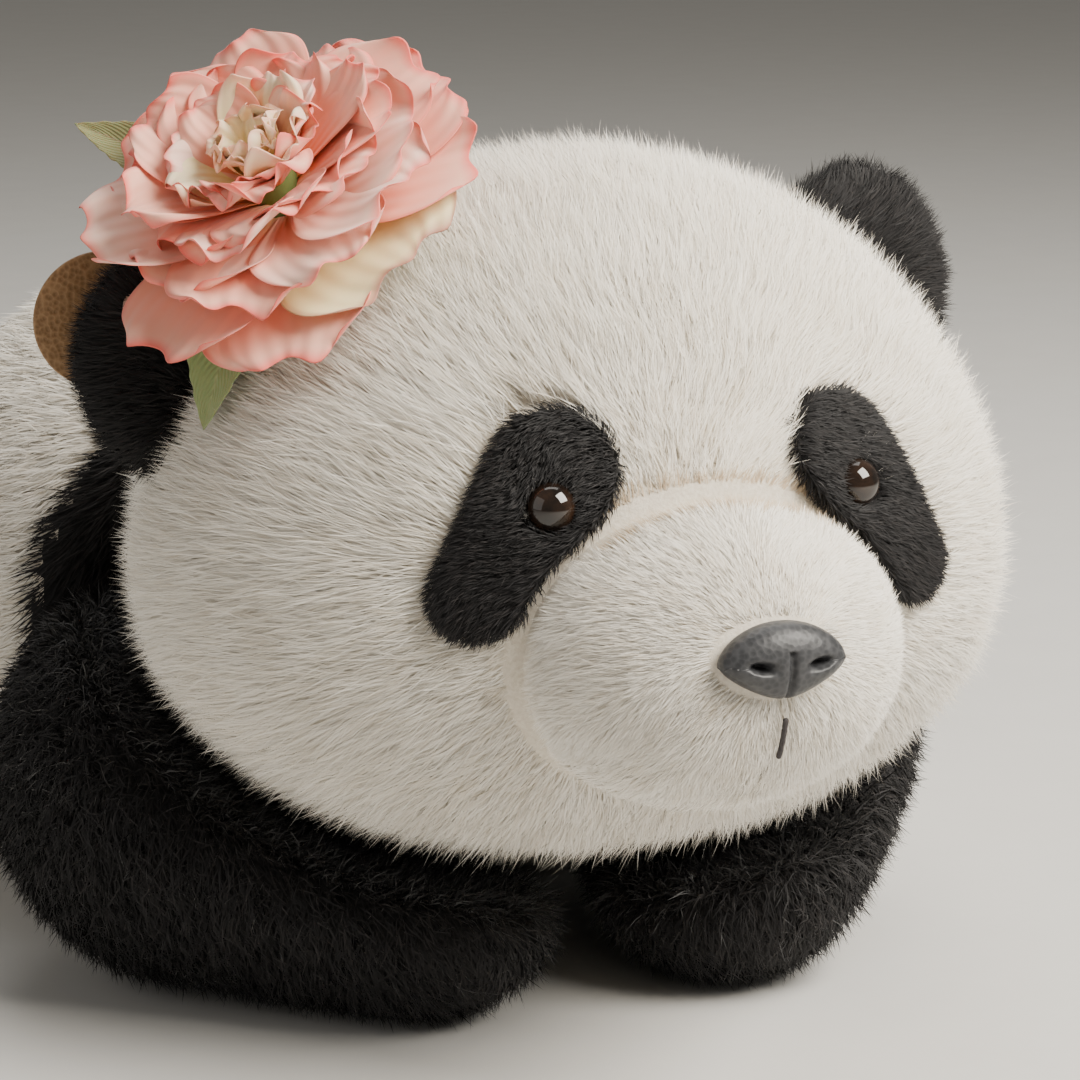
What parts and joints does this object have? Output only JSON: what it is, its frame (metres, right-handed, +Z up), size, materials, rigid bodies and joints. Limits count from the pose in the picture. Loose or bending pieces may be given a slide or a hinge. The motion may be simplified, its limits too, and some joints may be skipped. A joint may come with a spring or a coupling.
{
  "type": "plush toy",
  "caption": "Plush panda lying on its belly with a round head, drooping black eye patches and a removable peony hair clip by its right ear.",
  "frame": {"origin": "floor contact under the belly, on the toy's middle plane", "axes": "+Z up, -Y towards the nose, +X towards the toy's left"},
  "size_m": [0.343, 0.5415, 0.2915],
  "materials": {
    "white_pile": "long combed pile",
    "muzzle_pile": "short clipped pile",
    "black_pile": "dense pile",
    "patch_pile": "short dense pile",
    "stuffing": "polyester fibre",
    "eye_plastic": "polished",
    "eye_white": "satin",
    "nose_plastic": "soft matte",
    "washer_plastic": "as moulded",
    "dark_thread": "embroidery thread",
    "tag_leather": "smooth",
    "petal_cloth": "dyed polyester",
    "heart_cloth": "dyed polyester",
    "leaf_cloth": "pressed polyester",
    "calyx_plastic": "as moulded",
    "felt": "felt",
    "clip_steel": "plated",
    "label_satin": "satin ribbon"
  },
  "bodies": {
    "torso": {"torso_cover": "white_pile", "shoulder_band": "black_pile", "torso_stuffing": "stuffing"},
    "neck": {"neck_collar": "black_pile"},
    "head": {"head_cover": "white_pile", "head_stuffing": "stuffing", "muzzle_cover": "muzzle_pile", "muzzle_stuffing": "stuffing", "left_eye_patch": "patch_pile", "right_eye_patch": "patch_pile", "left_eye": "eye_plastic", "right_eye": "eye_plastic", "left_eye_white": "eye_white", "right_eye_white": "eye_white", "left_eye_washer": "washer_plastic", "right_eye_washer": "washer_plastic", "nose": "nose_plastic", "nose_washer": "washer_plastic", "mouth_stitch": "dark_thread"},
    "left_ear": {"left_ear_cover": "black_pile", "left_ear_padding": "stuffing"},
    "right_ear": {"right_ear_cover": "black_pile", "right_ear_padding": "stuffing"},
    "ear_tag": {"ear_tag": "tag_leather"},
    "flower": {"peony_guard_petals": "petal_cloth", "peony_outer_petals": "petal_cloth", "peony_middle_petals": "petal_cloth", "peony_inner_petals": "petal_cloth", "peony_heart": "heart_cloth", "peony_calyx": "calyx_plastic", "peony_large_leaf": "leaf_cloth", "peony_olive_leaf": "leaf_cloth", "peony_small_leaf": "leaf_cloth", "flower_felt": "felt", "clip_upper_jaw": "clip_steel", "clip_pin": "clip_steel", "clip_spring": "clip_steel"},
    "clip_jaw": {"clip_lower_jaw": "clip_steel"},
    "left_foreleg": {"left_foreleg_cover": "black_pile", "left_foreleg_stuffing": "stuffing"},
    "right_foreleg": {"right_foreleg_cover": "black_pile", "right_foreleg_stuffing": "stuffing"},
    "left_hind_leg": {"left_hind_leg_cover": "black_pile", "left_hind_leg_stuffing": "stuffing", "left_hind_sole": "patch_pile"},
    "right_hind_leg": {"right_hind_leg_cover": "black_pile", "right_hind_leg_stuffing": "stuffing", "right_hind_sole": "patch_pile"},
    "tail": {"tail_cover": "white_pile", "tail_stuffing": "stuffing"},
    "label": {"care_label": "label_satin"}
  },
  "joints": [
    {"name": "head_turn", "type": "hinge", "parent": "torso", "child": "neck", "pos_m": [0, -0.195, 0.132], "axis": [0, 0, 1], "range_deg": [-10, 10], "stiffness_Nm_per_rad": 2},
    {"name": "head_nod", "type": "hinge", "parent": "neck", "child": "head", "pos_m": [0, -0.195, 0.132], "axis": [-1, 0, 0], "range_deg": [0, 10], "stiffness_Nm_per_rad": 3},
    {"name": "left_ear_fold", "type": "hinge", "parent": "head", "child": "left_ear", "pos_m": [0.11854, -0.15568, 0.20751], "axis": [0.5575, 0.1394, -0.8184], "range_deg": [-12, 12], "stiffness_Nm_per_rad": 0.12},
    {"name": "right_ear_fold", "type": "hinge", "parent": "head", "child": "right_ear", "pos_m": [-0.12846, -0.18532, 0.20385], "axis": [0.537, -0.1343, 0.8328], "range_deg": [-12, 12], "stiffness_Nm_per_rad": 0.12},
    {"name": "ear_tag_flap", "type": "hinge", "parent": "right_ear", "child": "ear_tag", "pos_m": [-0.14826, -0.16439, 0.21639], "axis": [0.537, -0.1343, 0.8328], "range_deg": [0, 35], "stiffness_Nm_per_rad": 0.01},
    {"name": "flower_lift", "type": "slide", "parent": "head", "child": "flower", "axis": [-0.5513, -0.4009, 0.7317], "range_m": [0, 0.045]},
    {"name": "clip_open", "type": "hinge", "parent": "flower", "child": "clip_jaw", "pos_m": [-0.07246, -0.2047, 0.2404], "axis": [0.1522, -0.9106, -0.3843], "range_deg": [0, 20]},
    {"name": "left_foreleg_swing", "type": "hinge", "parent": "torso", "child": "left_foreleg", "pos_m": [0.076, -0.14, 0.06], "axis": [0, 0, 1], "range_deg": [-1, 12], "stiffness_Nm_per_rad": 1.5},
    {"name": "right_foreleg_swing", "type": "hinge", "parent": "torso", "child": "right_foreleg", "pos_m": [-0.097, -0.142, 0.063], "axis": [0, 0, -1], "range_deg": [-1, 12], "stiffness_Nm_per_rad": 1.5},
    {"name": "left_hind_leg_swing", "type": "hinge", "parent": "torso", "child": "left_hind_leg", "pos_m": [0.105, 0.1, 0.062], "axis": [0, 0, -1], "range_deg": [-8, 8], "stiffness_Nm_per_rad": 1.5},
    {"name": "right_hind_leg_swing", "type": "hinge", "parent": "torso", "child": "right_hind_leg", "pos_m": [-0.105, 0.1, 0.062], "axis": [0, 0, 1], "range_deg": [-8, 8], "stiffness_Nm_per_rad": 1.5},
    {"name": "tail_lift", "type": "hinge", "parent": "torso", "child": "tail", "pos_m": [0, 0.129, 0.15], "axis": [1, 0, 0], "range_deg": [-15, 15], "stiffness_Nm_per_rad": 0.15},
    {"name": "label_flap", "type": "hinge", "parent": "torso", "child": "label", "pos_m": [0.1519, 0.012, 0.084], "axis": [0, -1, 0], "range_deg": [0, 60]}
  ],
  "couplings": [
    {"joint": "clip_open", "follows": "flower_lift", "rad_per_m": 7.7}
  ]
}
